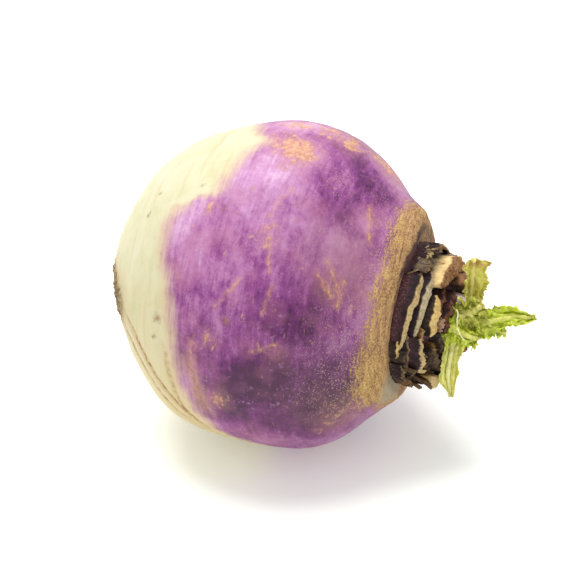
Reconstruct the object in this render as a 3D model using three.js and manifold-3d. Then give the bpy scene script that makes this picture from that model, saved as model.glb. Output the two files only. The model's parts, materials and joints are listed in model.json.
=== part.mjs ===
// A purple-top turnip lying on its side: the swollen root, the torn bases of its dead leaves packed round the
// crown, the cut petiole stubs inside them, and the young leaves that sprout from the middle.
// Millimetres. +X runs from the root tip to the crown and +Z is up. The origin is the middle of the flat
// resting spot, straight under the widest section.
import * as THREE from "three";
import { mergeVertices } from "three/addons/utils/BufferGeometryUtils.js";
import Module from "manifold-3d";

const wasm = await Module();
wasm.setup();

// Driving dimensions.
const bodyRadius = 42.6; // at the widest section, across the axis
const rootLength = 42.4; // from the widest section back to the taproot scar
const creaseAt = 35.7; // from the widest section forward to the crease under the leaf bases
const creaseRadius = 19.2;
const crownHeight = 11.6; // from the crease to the growing point
const restDepth = 1.5; // how much of the round the resting spot takes off
const crownDrop = 1.5; // the crown sits this far below the middle of the root
const clearance = 0.35; // left between pieces that grow from one another

// Fineness of the solids.
const rootSegments = 72;
const rootProfilePoints = 44;
const loftSteps = 6;

const radians = THREE.MathUtils.degToRad;
const mix = THREE.MathUtils.lerp;
const smooth = THREE.MathUtils.smoothstep;

// Colours, as roughness-led plant tissue with no metal in it.
const finishes = {
  skin: { color: 0x7d4a78, roughness: 0.42 },
  dryBase: { color: 0x5a4630, roughness: 0.85 },
  paleStub: { color: 0xcdb47c, roughness: 0.7 },
  youngLeaf: { color: 0xb4be4c, roughness: 0.5 },
};

const materials = Object.fromEntries(
  Object.entries(finishes).map(([name, look]) => [name, new THREE.MeshStandardMaterial({ ...look, metalness: 0 })]),
);

// --- solids ---------------------------------------------------------------------------------------------

function solidOf(geometry) {
  const bare = geometry.clone();
  bare.deleteAttribute("normal");
  bare.deleteAttribute("uv");
  const merged = mergeVertices(bare, 1e-3);
  const vertProperties = merged.attributes.position.array;
  const triVerts = new Uint32Array(merged.index.array);
  return new wasm.Manifold(new wasm.Mesh({ numProp: 3, vertProperties, triVerts }));
}

function geometryOf(solid) {
  const { vertProperties, triVerts } = solid.getMesh();
  const geometry = new THREE.BufferGeometry();
  geometry.setAttribute("position", new THREE.BufferAttribute(vertProperties, 3));
  geometry.setIndex(new THREE.BufferAttribute(triVerts, 1));
  return geometry;
}

// Moves every vertex of a geometry to where move(point) puts it.
function reshape(geometry, move) {
  const position = geometry.attributes.position;
  const point = new THREE.Vector3();
  for (let i = 0; i < position.count; i++) {
    point.fromBufferAttribute(position, i);
    move(point);
    position.setXYZ(i, point.x, point.y, point.z);
  }
  return geometry;
}

// Angles round the axis are in degrees from the top, turning towards -Y, so 90 faces -Y and 180 is underneath.
const angleOf = (point) => Math.atan2(-point.y, point.z);

// --- the root -------------------------------------------------------------------------------------------

// From the taproot scar over the widest section to the corky collar, the crease and the cone of the crown.
const rootProfile = [
  [-rootLength, 0],
  [-rootLength, 3.6],
  [-rootLength + 0.9, 6.4],
  ...[-64, -52, -40, -28, -14, 0, 14].map((tilt) => [
    (tilt < 0 ? rootLength : bodyRadius) * Math.sin(radians(tilt)),
    bodyRadius * Math.cos(radians(tilt)),
  ]),
  [0.48 * creaseAt, 0.9 * bodyRadius],
  [0.66 * creaseAt, 0.795 * bodyRadius],
  [0.81 * creaseAt, 0.668 * bodyRadius],
  [creaseAt - 3.6, creaseRadius + 6.2],
  [creaseAt - 1.6, creaseRadius + 3.6],
  [creaseAt - 0.5, creaseRadius + 1.6],
  [creaseAt, creaseRadius],
  [creaseAt + 0.6, creaseRadius - 1.0],
  [creaseAt + 0.25 * crownHeight, creaseRadius - 4.4],
  [creaseAt + 0.55 * crownHeight, creaseRadius - 8.8],
  [creaseAt + 0.8 * crownHeight, creaseRadius - 13.2],
  [creaseAt + crownHeight, 0],
].map(([along, radius]) => new THREE.Vector2(radius, along));

// Swells and hollows of the grown shape: where they are, how wide they reach and how far they push out.
const swells = [
  { along: 26, angle: 22, reach: 8, push: -0.9 }, // dimple on the shoulder
  { along: 21, angle: -22, reach: 17, push: 1.0 },
  { along: -21, angle: -28, reach: 13, push: -1.3 }, // pinched side of the cream end
  { along: -36, angle: 146, reach: 16, push: -2.9 }, // flat flank beside the taproot
  { along: -16, angle: 136, reach: 11, push: 0.8 },
  { along: 0, angle: 154, reach: 18, push: -2.3 }, // flatter underside
  { along: 6, angle: -120, reach: 24, push: -0.8 }, // flatter far side
  { along: 31, angle: 148, reach: 11, push: -1.8 },
  { along: -36, angle: 70, reach: 10, push: 0.4 },
];

// The tail end curls round so that the taproot scar looks this way.
const scarWay = new THREE.Vector3(-0.966, -0.194, -0.156).normalize();
const curl = new THREE.Quaternion().setFromUnitVectors(new THREE.Vector3(-1, 0, 0), scarWay);

function growRoot(point) {
  point.applyQuaternion(new THREE.Quaternion().slerp(curl, smooth(-point.x, 0, rootLength)));
  const here = point.clone();
  const angle = angleOf(here);
  const radius = Math.hypot(here.y, here.z);
  let push = 0.35 * Math.sin(3 * angle + 0.5) * Math.sin(0.07 * here.x + 1.0);
  push += 0.3 * Math.sin(5 * angle + 0.09 * here.x);
  push *= Math.min(radius / bodyRadius, 1);
  for (const swell of swells) {
    const ring = Math.sqrt(Math.max(bodyRadius ** 2 - swell.along ** 2, 0));
    const turn = radians(swell.angle);
    const middle = new THREE.Vector3(swell.along, -ring * Math.sin(turn), ring * Math.cos(turn));
    push += swell.push * Math.exp(-((here.distanceTo(middle) / swell.reach) ** 2));
  }
  push *= 1 - smooth(here.x, creaseAt - 3, creaseAt);
  point.addScaledVector(here.normalize(), push);
  point.z -= crownDrop * smooth(point.x, 0, creaseAt);
  point.z += bodyRadius - restDepth;
}

// The profile smoothed: x is the distance from the axis and y the place along it.
function rootLine() {
  const points = new THREE.SplineCurve(rootProfile).getPoints(rootProfilePoints);
  points[0].x = 0;
  points[points.length - 1].x = 0;
  return points;
}

function rootSolid() {
  const body = new THREE.LatheGeometry(rootLine(), rootSegments).rotateZ(-Math.PI / 2);
  const below = new THREE.BoxGeometry(4 * bodyRadius, 4 * bodyRadius, 2 * bodyRadius);
  below.translate(0, 0, -bodyRadius);
  return solidOf(reshape(body, growRoot)).subtract(solidOf(below));
}

// --- what grows on the crown ----------------------------------------------------------------------------

// The crown's own frame: its x starts at the crease, on the axis.
const crownPlace = new THREE.Vector3(creaseAt, 0, bodyRadius - restDepth - crownDrop);

// Whatever stands on the crown leans down as it rises: in on the top side and out underneath.
const sag = 0.009;
const lean = (along, around) => 1 - sag * Math.max(along, 0) * Math.cos(around + radians(30));

// A closed crescent across the axis, thick in the middle and thin at its two ends.
function crescent(radius, thickness, halfSpan) {
  const shape = new THREE.Shape();
  const corners = 10;
  const rim = (side) => (i) => {
    const share = -1 + (2 * i) / corners;
    const depth = (thickness / 2) * Math.sqrt(1 - 0.82 * share * share);
    const r = radius + side * depth;
    return new THREE.Vector2(-r * Math.sin(share * halfSpan), r * Math.cos(share * halfSpan));
  };
  const steps = Array.from({ length: corners + 1 }, (_, i) => i);
  shape.setFromPoints([...steps.map(rim(1)), ...steps.map(rim(-1)).reverse()]);
  return shape;
}

// One leaf base or petiole stub: a crescent that stands up from the crown and ends in a torn, slanting rim.
function standing({ angle, span, radius, thickness, from, height, slant = 0, thin = 0.35, tears = 0.9 }) {
  const halfSpan = radians(span / 2);
  const section = crescent(radius, thickness, halfSpan);
  const geometry = new THREE.ExtrudeGeometry(section, { depth: 1, steps: loftSteps, bevelEnabled: false });
  return reshape(geometry, (p) => {
    const share = p.z;
    const turn = Math.atan2(-p.x, p.y);
    const across = turn / halfSpan;
    const torn = tears * Math.sin(5.3 * across + angle) + 0.5 * tears * Math.sin(11.7 * across + 2 * angle);
    const top = height * (1 - 0.25 * across ** 4) + slant * across + torn;
    const along = from + share * top;
    const thinned = radius + (Math.hypot(p.x, p.y) - radius) * (1 - thin * share);
    const around = radians(angle) + turn;
    const r = thinned * lean(along, around);
    p.set(along, -r * Math.sin(around), r * Math.cos(around));
  });
}

// A young leaf: a folded blade swept along a curve, widest part way up and closing to a point or a cut end.
function youngLeaf({ path, width, thickness, face, widths, steps = 16 }) {
  const curve = new THREE.CatmullRomCurve3(path.map((p) => new THREE.Vector3(...p)));
  const spread = new THREE.SplineCurve(widths.map((w, i) => new THREE.Vector2(i / (widths.length - 1), w)));
  const blade = new THREE.Shape().setFromPoints([
    new THREE.Vector2(-1, -0.35),
    new THREE.Vector2(-0.5, -0.7),
    new THREE.Vector2(0, -1),
    new THREE.Vector2(0.5, -0.7),
    new THREE.Vector2(1, -0.35),
    new THREE.Vector2(1, 0.35),
    new THREE.Vector2(0, 0.6),
    new THREE.Vector2(-1, 0.35),
  ]);
  const geometry = new THREE.ExtrudeGeometry(blade, { depth: 1, steps, bevelEnabled: false });
  const facing = new THREE.Vector3(...face).normalize();
  return reshape(geometry, (p) => {
    const share = THREE.MathUtils.clamp(p.z, 0, 1);
    const forward = curve.getTangent(share);
    const side = new THREE.Vector3().crossVectors(facing, forward).normalize();
    const up = new THREE.Vector3().crossVectors(forward, side);
    const half = (width / 2) * Math.max(spread.getPoint(share).y, 0.05);
    const point = curve.getPoint(share).addScaledVector(side, p.x * half);
    p.copy(point.addScaledVector(up, (p.y * thickness) / 2));
  });
}

// Torn bases of dead leaves, in three rings: the outer ones are the lowest and shortest.
const leafBases = [
  { name: "outer_base_1", angle: 60, span: 62, radius: 18.1, thickness: 1.7, from: -0.4, height: 5.2, slant: -1.3 },
  { name: "outer_base_2", angle: 1, span: 44, radius: 18.1, thickness: 1.7, from: -0.4, height: 4.6, slant: 0.6 },
  { name: "outer_base_3", angle: 128, span: 66, radius: 18.1, thickness: 1.7, from: -0.4, height: 5.6, slant: 1.0 },
  { name: "outer_base_4", angle: 201, span: 70, radius: 18.1, thickness: 1.7, from: -0.4, height: 5.0 },
  { name: "outer_base_5", angle: 287, span: 88, radius: 18.1, thickness: 1.7, from: -0.4, height: 5.4, slant: 0.9 },
  { name: "middle_base_1", angle: 47, span: 68, radius: 15.4, thickness: 2.0, from: 1.8, height: 6.2, slant: -0.8 },
  { name: "middle_base_2", angle: 118, span: 66, radius: 15.4, thickness: 2.0, from: 1.8, height: 6.6, slant: -0.8 },
  { name: "middle_base_3", angle: 192, span: 74, radius: 15.4, thickness: 2.0, from: 1.8, height: 6.8 },
  { name: "middle_base_4", angle: 264, span: 62, radius: 15.4, thickness: 2.0, from: 1.8, height: 6.2 },
  { name: "middle_base_5", angle: 332, span: 66, radius: 15.4, thickness: 2.0, from: 1.8, height: 6.0 },
  { name: "inner_base_1", angle: -7, span: 60, radius: 12.5, thickness: 2.8, from: 4.2, height: 6.8, slant: 0.4 },
  { name: "inner_base_2", angle: 63, span: 68, radius: 12.2, thickness: 2.0, from: 4.2, height: 5.8, slant: -0.6 },
  { name: "inner_base_3", angle: 138, span: 72, radius: 12.2, thickness: 2.4, from: 4.2, height: 5.2, tears: 0.7 },
  { name: "inner_base_4", angle: 213, span: 68, radius: 12.2, thickness: 2.4, from: 4.2, height: 7.4 },
  { name: "inner_base_5", angle: 285, span: 70, radius: 12.2, thickness: 2.4, from: 4.2, height: 7.0, slant: 1.0 },
];

// Thicker stubs of petioles, cut off close above the crown.
const petioleStubs = [
  { name: "petiole_stub_1", angle: 44, span: 78, radius: 8.8, thickness: 2.2, from: 5.2, height: 6.4, slant: 0.6 },
  { name: "petiole_stub_2", angle: -46, span: 76, radius: 8.6, thickness: 3.0, from: 5.2, height: 9.6, slant: 0.4 },
  { name: "petiole_stub_3", angle: 130, span: 78, radius: 8.8, thickness: 2.4, from: 5.2, height: 4.9, tears: 0.4 },
  { name: "petiole_stub_4", angle: 220, span: 84, radius: 8.8, thickness: 2.8, from: 5.2, height: 7.8 },
];

// The young leaves, with each path starting just above the growing point.
const youngLeaves = [
  {
    name: "young_leaf_upright",
    path: [[14.4, -0.4, 4.4], [15.4, -0.6, 8.4], [15.9, -0.8, 13.4], [16.1, -1.2, 18.8]],
    width: 5.8,
    thickness: 1.4,
    face: [0.3, -1, 0],
    widths: [0.5, 0.85, 0.95, 0.85],
  },
  {
    name: "young_leaf_frilled",
    path: [[14.6, -3.2, 0.4], [17.2, -4.4, 2.6], [20.4, -4.4, 4.6], [26.0, -3.6, 6.2], [31.4, -3.0, 6.6]],
    width: 10.0,
    thickness: 1.6,
    face: [0.1, -1, 0.5],
    widths: [0.5, 1.0, 0.95, 0.55, 0.1],
  },
  {
    name: "young_leaf_hanging",
    path: [[13.6, -5.6, -2.6], [13.3, -7.9, -6.0], [12.9, -9.2, -11.0], [13.4, -9.4, -16.8]],
    width: 4.8,
    thickness: 2.2,
    face: [0.5, -1, 0.2],
    widths: [0.8, 1.0, 0.95, 0.8, 0.25],
  },
  {
    name: "young_leaf_folded",
    path: [[14.4, 2.6, -1.6], [16.6, 4.2, -1.0], [20.0, 5.4, 0.6]],
    width: 5.2,
    thickness: 1.4,
    face: [0.2, -1, 0.4],
    widths: [0.6, 1.0, 0.8, 0.3],
  },
];

// --- assembly -------------------------------------------------------------------------------------------

const root = rootSolid();

// The crown's own line moved out by the clearance, to keep whatever stands on the crown off its surface.
function crownCutter() {
  const line = rootLine();
  const grown = [];
  for (let i = 1; i < line.length - 1; i++) {
    if (line[i].y < creaseAt - 1) continue;
    const run = line[i + 1].clone().sub(line[i - 1]).normalize();
    grown.push(new THREE.Vector2(line[i].x + clearance * run.y, line[i].y - clearance * run.x - creaseAt));
  }
  const base = grown[0].y - clearance;
  const wide = bodyRadius / 2 + clearance;
  const tip = new THREE.Vector2(0, crownHeight + clearance);
  const outside = [new THREE.Vector2(0, base), new THREE.Vector2(wide, base), new THREE.Vector2(wide, 0)];
  const cone = grown.filter((p) => p.y > 0 && p.x > clearance);
  return solidOf(new THREE.LatheGeometry([...outside, ...cone, tip], rootSegments).rotateZ(-Math.PI / 2));
}

const turnip = new THREE.Group();
const crown = new THREE.Group();
crown.position.copy(crownPlace);
turnip.add(crown);

function addMesh(parent, name, geometry, material) {
  const mesh = new THREE.Mesh(geometry, material);
  mesh.name = name;
  parent.add(mesh);
}

addMesh(turnip, "root", geometryOf(root), materials.skin);

const cone = crownCutter();
for (const base of leafBases) {
  const solid = solidOf(standing(base)).subtract(cone);
  addMesh(crown, base.name, geometryOf(solid), materials.dryBase);
}
for (const stub of petioleStubs) {
  const solid = solidOf(standing(stub)).subtract(cone);
  addMesh(crown, stub.name, geometryOf(solid), materials.paleStub);
}
for (const leaf of youngLeaves) {
  addMesh(crown, leaf.name, geometryOf(solidOf(youngLeaf(leaf))), materials.youngLeaf);
}

export default turnip;
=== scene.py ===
import json
import math
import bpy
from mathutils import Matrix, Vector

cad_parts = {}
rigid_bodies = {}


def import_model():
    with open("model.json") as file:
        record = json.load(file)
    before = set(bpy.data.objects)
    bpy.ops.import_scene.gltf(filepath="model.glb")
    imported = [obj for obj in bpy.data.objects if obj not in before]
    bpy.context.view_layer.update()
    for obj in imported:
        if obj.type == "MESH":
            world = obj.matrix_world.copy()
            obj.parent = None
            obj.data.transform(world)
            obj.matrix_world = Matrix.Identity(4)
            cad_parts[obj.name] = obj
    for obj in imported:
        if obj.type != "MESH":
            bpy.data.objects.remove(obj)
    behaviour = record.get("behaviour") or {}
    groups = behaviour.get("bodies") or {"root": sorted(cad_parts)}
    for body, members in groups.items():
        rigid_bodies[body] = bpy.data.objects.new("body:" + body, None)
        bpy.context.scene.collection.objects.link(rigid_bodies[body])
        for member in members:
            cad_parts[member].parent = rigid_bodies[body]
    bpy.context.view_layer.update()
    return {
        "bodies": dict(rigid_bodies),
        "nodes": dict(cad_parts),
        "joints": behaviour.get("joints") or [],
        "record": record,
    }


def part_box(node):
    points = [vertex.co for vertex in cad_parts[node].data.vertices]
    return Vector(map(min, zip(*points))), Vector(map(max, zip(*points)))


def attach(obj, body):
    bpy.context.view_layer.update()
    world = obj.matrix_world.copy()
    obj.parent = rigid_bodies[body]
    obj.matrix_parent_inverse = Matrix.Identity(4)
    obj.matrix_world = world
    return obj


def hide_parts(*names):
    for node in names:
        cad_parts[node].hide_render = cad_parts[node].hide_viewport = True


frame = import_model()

from types import SimpleNamespace

import bpy
from mathutils import Vector, noise
from mathutils.bvhtree import BVHTree

frame["slots"] = {part["node"]: part["material_slot"] for part in frame["record"]["subparts"]}
mm = 0.001

# where the turnip lies: x along its axis from tail to crown, z up
rootRadius = 42.3  # mm, of the ball that fits the root best
topAbove = 42.85  # mm from the middle of that ball to the highest place
creaseAlong = 35.7  # mm along the axis to the crease under the leaf bases
crownSag = 1.5  # mm the crown hangs below the axis
bodyCentre = Vector((0, 0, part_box("root")[1][2] - topAbove * mm))
crownCentre = Vector((creaseAlong * mm, 0, bodyCentre.z - crownSag * mm))
scarWay = Vector((-0.966, -0.194, -0.156)).normalized()  # the taproot scar looks this way
scarPaint = Vector((-0.872, -0.48, 0.06)).normalized()  # the middle of its bark, more on the near side


# small helpers

def deselectAll():
    if bpy.context.object and bpy.context.object.mode != "OBJECT":
        bpy.ops.object.mode_set(mode="OBJECT")
    bpy.ops.object.select_all(action="DESELECT")


def pick(thing):
    deselectAll()
    thing.select_set(True)
    bpy.context.view_layer.objects.active = thing


def applyAll(thing):
    pick(thing)
    for modifier in list(thing.modifiers):
        bpy.ops.object.modifier_apply(modifier=modifier.name)


def settle(thing):
    # leaves the object at the origin with its place in the mesh
    pick(thing)
    bpy.ops.object.transform_apply(location=True, rotation=True, scale=True)


def smoothStep(value, low, high):
    share = min(max((value - low) / (high - low), 0), 1)
    return share * share * (3 - 2 * share)


def mix(a, b, share):
    return a + (b - a) * share


def wrap(degrees):
    return (degrees + 180) % 360 - 180


def onAxis(point):
    # place in mm and degrees: along the axis, round it from the top towards the front, and out from it
    p = (point - bodyCentre) / mm
    return p.x, math.degrees(math.atan2(-p.y, p.z)), math.hypot(p.y, p.z)


def onRing(along, angle, out):
    # the way back, in mm from the middle of the root
    turn = math.radians(angle)
    return Vector((along, -out * math.sin(turn), out * math.cos(turn)))


def placeMm(along, angle):
    # a place on the round of the root, in mm from its middle
    return tuple(onRing(along, angle, math.sqrt(max(rootRadius ** 2 - along ** 2, 0))))


# shader sums

class Wire:
    # one output of a material's nodes, used in plain sums
    def __init__(self, tree, socket):
        self.tree = tree
        self.socket = socket

    def make(self, kind, settings=None, values=None, output=0):
        node = self.tree.nodes.new(kind)
        for name, value in (settings or {}).items():
            if name == "stops":
                fillRamp(node.color_ramp, value)
            else:
                setattr(node, name, value)
        for name, value in (values or {}).items():
            if isinstance(value, Wire):
                self.tree.links.new(value.socket, node.inputs[name])
            elif value is not None:
                node.inputs[name].default_value = value
        return Wire(self.tree, node.outputs[output])

    def maths(self, operation, *others):
        values = {index: other for index, other in enumerate((self,) + others)}
        return self.make("ShaderNodeMath", {"operation": operation}, values)

    def __add__(self, other):
        return self.maths("ADD", other)

    def __sub__(self, other):
        return self.maths("SUBTRACT", other)

    def __mul__(self, other):
        return self.maths("MULTIPLY", other)

    def __truediv__(self, other):
        return self.maths("DIVIDE", other)

    def __neg__(self):
        return self.maths("MULTIPLY", -1)

    def __rsub__(self, other):
        return self.maths("MULTIPLY", -1).maths("ADD", other)

    __radd__ = __add__
    __rmul__ = __mul__

    def clamp(self):
        return self.make("ShaderNodeClamp", None, {"Value": self})

    def smooth(self, low, high):
        values = {"Value": self, "From Min": low, "From Max": high}
        return self.make("ShaderNodeMapRange", {"interpolation_type": "SMOOTHSTEP"}, values)

    def vector(self, operation, other=None, output=0):
        values = {0: self, 1: other}
        return self.make("ShaderNodeVectorMath", {"operation": operation}, values, output)

    def ramp(self, stops):
        return self.make("ShaderNodeValToRGB", {"stops": stops}, {0: self})

    def split(self):
        parts = self.make("ShaderNodeSeparateXYZ", None, {0: self}).socket.node.outputs
        return [Wire(self.tree, part) for part in parts]

    def scaled(self, size):
        return self.make("ShaderNodeVectorMath", {"operation": "MULTIPLY"}, {0: self, 1: size})

    def noise(self, scale, detail=2, roughness=0.5, distortion=0.0, output="Fac"):
        values = {"Vector": self, "Scale": scale, "Detail": detail, "Roughness": roughness}
        values["Distortion"] = distortion
        return self.make("ShaderNodeTexNoise", None, values, output)

    def cells(self, scale):
        return self.make("ShaderNodeTexVoronoi", None, {"Vector": self, "Scale": scale}, "Distance")

    def near(self, place, reach, softness=0.6):
        # one at a place, falling to nothing at that distance from it
        away = self.vector("DISTANCE", place, "Value")
        return 1 - away.smooth(reach * (1 - softness), reach)

    def paint(self, colour, amount):
        # this colour with another laid over it by that amount
        values = {0: amount, 6: self, 7: colour}
        return self.make("ShaderNodeMix", {"data_type": "RGBA", "clamp_factor": True}, values, 2)


def fillRamp(ramp, stops):
    while len(ramp.elements) < len(stops):
        ramp.elements.new(0.5)
    for element, (place, colour) in zip(ramp.elements, stops):
        element.position = place
        element.color = colour


def tint(red, green, blue):
    # a colour as it is picked on screen, made linear
    def straight(value):
        value /= 255
        return value / 12.92 if value <= 0.04045 else ((value + 0.055) / 1.055) ** 2.4
    return (straight(red), straight(green), straight(blue), 1)


def shades(*rows):
    # stops of a ramp, from rows of place, red, green and blue
    return [(place, tint(*colour)) for place, *colour in rows]


def newMaterial(name):
    material = bpy.data.materials.new(name)
    material.use_nodes = True
    tree = material.node_tree
    tree.nodes.clear()
    output = tree.nodes.new("ShaderNodeOutputMaterial")
    surface = tree.nodes.new("ShaderNodeBsdfPrincipled")
    tree.links.new(surface.outputs[0], output.inputs[0])
    place = Wire(tree, tree.nodes.new("ShaderNodeTexCoord").outputs["Object"])
    inMm = place.vector("SUBTRACT", tuple(bodyCentre)).scaled((1000, 1000, 1000))
    return material, surface, inMm


def dress(surface, colour, roughness, height, strength, depth):
    # wires or plain numbers into the surface, and a bump of that depth in metres
    tree = surface.id_data
    for name, wire in (("Base Color", colour), ("Roughness", roughness)):
        if isinstance(wire, Wire):
            tree.links.new(wire.socket, surface.inputs[name])
        else:
            surface.inputs[name].default_value = wire
    values = {"Strength": strength, "Distance": depth, "Height": height}
    bump = height.make("ShaderNodeBump", None, values)
    tree.links.new(bump.socket, surface.inputs["Normal"])


# the swollen root

rootShape = {
    "segments": 384,
    "rings": 236,
    "smoothing": 26,
    "ripples": [(11, 0.16), (4.5, 0.07), (1.8, 0.022)],  # size and height in mm
    "collarAt": 33.6,
    "collarWidth": 2.5,
    "collarHeight": 0.9,
    "creaseAt": 36.1,
    "creaseDepth": 1.3,
    # swellings and dips: along, angle, reach and height in mm
    "bulges": [(35, -27, 2.4, 0.9), (36.6, -18, 2, 0.7), (33.4, -37, 2.6, 0.5), (36.5, 12, 7, 1.7),
               (36, 52, 5, 0.6), (28, 148, 13, 1.3), (25, 24, 3.2, -0.7), (28, 27, 3, 0.5),
               (-12, -20, 9, -0.5), (10, -60, 14, 0.8), (-20, 120, 8, 0.4)],
    "scarRadius": 5.2,
    "scarHeight": 1.3,
    "barkFrom": 7,  # how far from its middle the rough bark starts to fade, and where it is gone
    "barkTo": 13,
    "uprightSquash": 1.45,  # the bark patch is longer than it is high
}


def smoothRootSurface():
    # the CAD root merged, smoothed and kept only to be measured
    cad = frame["nodes"]["root"]
    copy = bpy.data.objects.new("rootGuide", cad.data.copy())
    bpy.context.scene.collection.objects.link(copy)
    pick(copy)
    bpy.ops.object.mode_set(mode="EDIT")
    bpy.ops.mesh.select_all(action="SELECT")
    bpy.ops.mesh.remove_doubles(threshold=0.00001)
    bpy.ops.object.mode_set(mode="OBJECT")
    subdivision = copy.modifiers.new("subdivision", "SUBSURF")
    subdivision.levels = subdivision.render_levels = 1
    applyAll(copy)
    corners = [vertex.co.copy() for vertex in copy.data.vertices]
    faces = [face.vertices[:] for face in copy.data.polygons]
    surface = BVHTree.FromPolygons(corners, faces)
    bpy.data.objects.remove(copy)
    return surface


def ringSpacing(turn):
    # more rings where the collar and the crease are
    return turn + 0.13 * math.sin(2 * turn) * math.exp(-turn)


def corkRelief(along, angle, out):
    collar = math.exp(-(((along - rootShape["collarAt"]) / rootShape["collarWidth"]) ** 2))
    collar *= smoothStep(out, 15, 19)
    strong = 0.55 + 0.45 * math.cos(math.radians(angle + 28))
    warts = 0.5 + 0.5 * noise.noise(Vector((along * 0.5, math.radians(angle) * 9, 3)))
    grain = noise.noise(Vector((along * 1.6, math.radians(angle) * 34, 7)))
    return collar * (rootShape["collarHeight"] * strong * (0.6 + 0.8 * warts) + 0.17 * grain)


def scarRelief(p):
    away = (p.normalized() - scarWay).length * 42  # mm
    core = 1 - smoothStep(away, rootShape["scarRadius"] * 0.55, rootShape["scarRadius"])
    side = p.normalized() - scarPaint
    side.z *= rootShape["uprightSquash"]
    rough = 1 - smoothStep(side.length * 42, rootShape["barkFrom"], rootShape["barkTo"])
    crumbs = noise.noise(p * 0.7) + 0.7 * noise.noise(p * 1.7)
    wrinkles = math.sin(away * 1.9 + 2.6 * noise.noise(p * 0.2))
    return core * (rootShape["scarHeight"] + 0.4 * crumbs) + rough * (0.7 * crumbs + 0.25 * wrinkles)


# shallow grooves running round the cream end: start and end (along, angle), depth and width in mm,
# tone: how strongly the brown line in it shows
tailCreases = [
    {"from": (-29, 86), "to": (-6, 128), "depth": 0.55, "width": 0.9, "tone": 0.85},
    {"from": (-31, 92), "to": (-9, 130), "depth": 0.4, "width": 0.8, "tone": 0.8},
    {"from": (-15.6, 88), "to": (-11, 124), "depth": 0.35, "width": 0.7, "tone": 0.5},
    {"from": (-8.6, 88), "to": (-4, 116), "depth": 0.35, "width": 1.1, "tone": 0.6},
    {"from": (-36, 118), "to": (-14, 150), "depth": 0.4, "width": 0.9, "tone": 0.7},
    {"from": (-35, -5), "to": (-15, -22), "depth": 0.9, "width": 1.4, "tone": 1.0},
    {"from": (-25, -6), "to": (-13, -22), "depth": 0.6, "width": 1.1, "tone": 0.6},
    {"from": (-30, -60), "to": (-24, -84), "depth": 0.2, "width": 0.9, "tone": 0.32},
    {"from": (-33, 178), "to": (-28, -152), "depth": 0.2, "width": 0.8, "tone": 0.32},
    {"from": (-20, -150), "to": (-15, -128), "depth": 0.2, "width": 0.8, "tone": 0.32},
]


def creaseRelief(along, angle, p):
    depth = 0
    for crease in tailCreases:
        (alongA, angleA), (alongB, angleB) = crease["from"], crease["to"]
        span = wrap(angleB - angleA)
        share = wrap(angle - angleA) / span
        if -0.15 < share < 1.15:
            wander = 1.1 * noise.noise(Vector((share * 3, alongA, 0)))
            away = along - mix(alongA, alongB, share) - wander
            fade = smoothStep(share, -0.15, 0.15) * (1 - smoothStep(share, 0.8, 1.15))
            broken = 0.6 + 0.4 * noise.noise(p * 0.35)
            depth += crease["depth"] * fade * broken * math.exp(-((away / crease["width"]) ** 2))
    return -depth


def rootRelief(point):
    along, angle, out = onAxis(point)
    p = (point - bodyCentre) / mm
    skin = 1 - smoothStep(along, 33, 36)
    height = sum(tall * noise.noise(p / size) for size, tall in rootShape["ripples"]) * skin
    streak = noise.noise(Vector((along * 0.45, p.y * 0.06, p.z * 0.06)))
    height += 0.09 * streak * skin
    height += corkRelief(along, angle, out) + creaseRelief(along, angle, p)
    for along2, angle2, reach, tall in rootShape["bulges"]:
        away = (p - Vector(placeMm(along2, angle2))).length / reach
        height += tall * math.exp(-(away ** 2))
    gap = math.exp(-(((along - rootShape["creaseAt"]) / 0.9) ** 2)) * smoothStep(out, 14, 17)
    height -= rootShape["creaseDepth"] * gap
    if along < -20:
        height += scarRelief(p)
    return height * mm


def buildRoot():
    surface = smoothRootSurface()
    deselectAll()
    coarse = 1
    bpy.ops.mesh.primitive_uv_sphere_add(
        segments=rootShape["segments"] // coarse, ring_count=rootShape["rings"] // coarse, radius=0.04,
        location=bodyCentre, rotation=(0, math.pi / 2, 0))
    root = bpy.context.object
    root.name = "turnipRoot"
    settle(root)
    for vertex in root.data.vertices:
        way = (vertex.co - bodyCentre).normalized()
        turn = math.acos(min(max(way.x, -1), 1))
        spaced = ringSpacing(turn)
        side = Vector((0, way.y, way.z))
        if side.length > 0:
            way = Vector((math.cos(spaced), 0, 0)) + side.normalized() * math.sin(spaced)
        vertex.co = surface.ray_cast(bodyCentre, way)[0]
    smoothing = root.modifiers.new("smoothing", "SMOOTH")
    smoothing.factor = 0.5
    smoothing.iterations = rootShape["smoothing"] // coarse ** 2
    applyAll(root)
    normals = [vertex.normal.copy() for vertex in root.data.vertices]
    for vertex, normal in zip(root.data.vertices, normals):
        vertex.co += normal * rootRelief(vertex.co)
        vertex.co.z = max(vertex.co.z, 0)
    pick(root)
    bpy.ops.object.shade_smooth()
    return root


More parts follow.
